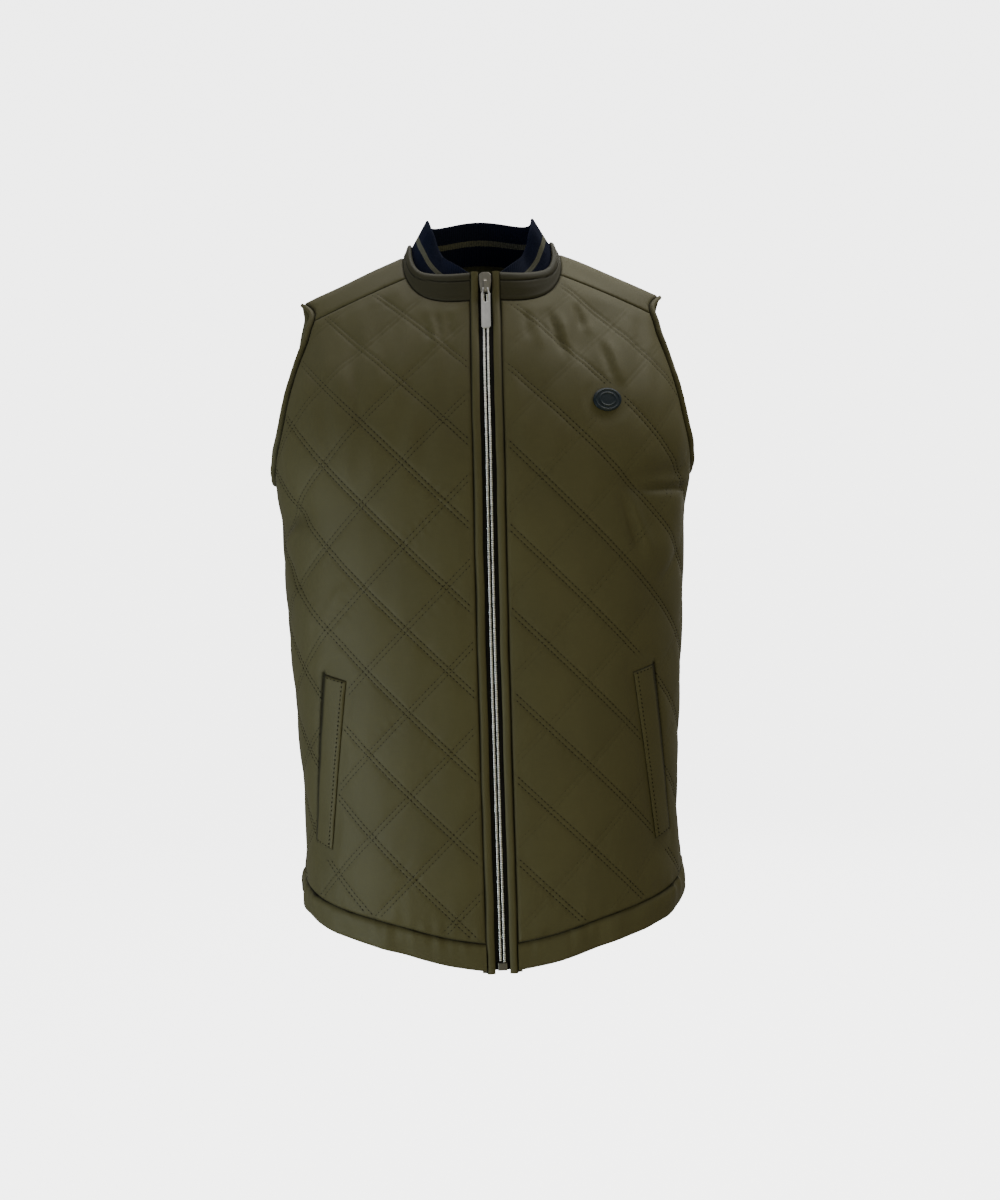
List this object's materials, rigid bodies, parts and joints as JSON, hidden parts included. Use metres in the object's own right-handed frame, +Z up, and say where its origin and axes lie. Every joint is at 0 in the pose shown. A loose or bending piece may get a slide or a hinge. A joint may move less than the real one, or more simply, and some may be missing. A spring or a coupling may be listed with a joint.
{
  "type": "quilted sleeveless jacket",
  "caption": "Padded diamond-quilted sleeveless jacket in its worn, hollow form, with a plain yoke, stand collar with a rib-knit inside, front zip, slanted welt pockets and bound armholes.",
  "frame": {"origin": "middle of the neck opening, level with the shoulder ridge beside it, where the wearer's shoulders carry the garment", "axes": "+Z up, -Y the way the wearer faces, +X the wearer's left"},
  "size_m": [0.3999, 0.2699, 0.6975],
  "materials": {
    "quilted_cloth": "matt woven olive cloth over light wadding, sewn in double diamond rows",
    "plain_cloth": "matt woven olive cloth, plain",
    "rib_knit": "dark navy rib knit with one olive stripe",
    "zip_tape": "black woven tape",
    "zip_metal": "polished silver-coloured metal",
    "badge": "dark moulded badge with plain rings"
  },
  "bodies": {
    "garment": {"front_left": "quilted_cloth", "front_right": "quilted_cloth", "back": "quilted_cloth", "yoke": "plain_cloth", "hem_band_left": "plain_cloth", "hem_band_right": "plain_cloth", "hem_band_back": "plain_cloth", "armhole_binding_left": "plain_cloth", "armhole_binding_right": "plain_cloth", "collar_band": "plain_cloth", "collar_rib": "rib_knit", "edge_strip_left": "plain_cloth", "edge_strip_right": "plain_cloth", "zip_tape_left": "zip_tape", "zip_tape_right": "zip_tape", "zip_chain": "zip_metal", "zip_slider": "zip_metal", "zip_box": "zip_metal", "welt_left": "plain_cloth", "welt_right": "plain_cloth", "badge": "badge"},
    "pull": {"zip_pull": "zip_metal"}
  },
  "joints": [
    {"name": "zip_pull_swing", "type": "hinge", "parent": "garment", "child": "pull", "pos_m": [0.00414, -0.06974, -0.03826], "axis": [-1, 0, 0], "range_deg": [0, 140]}
  ]
}
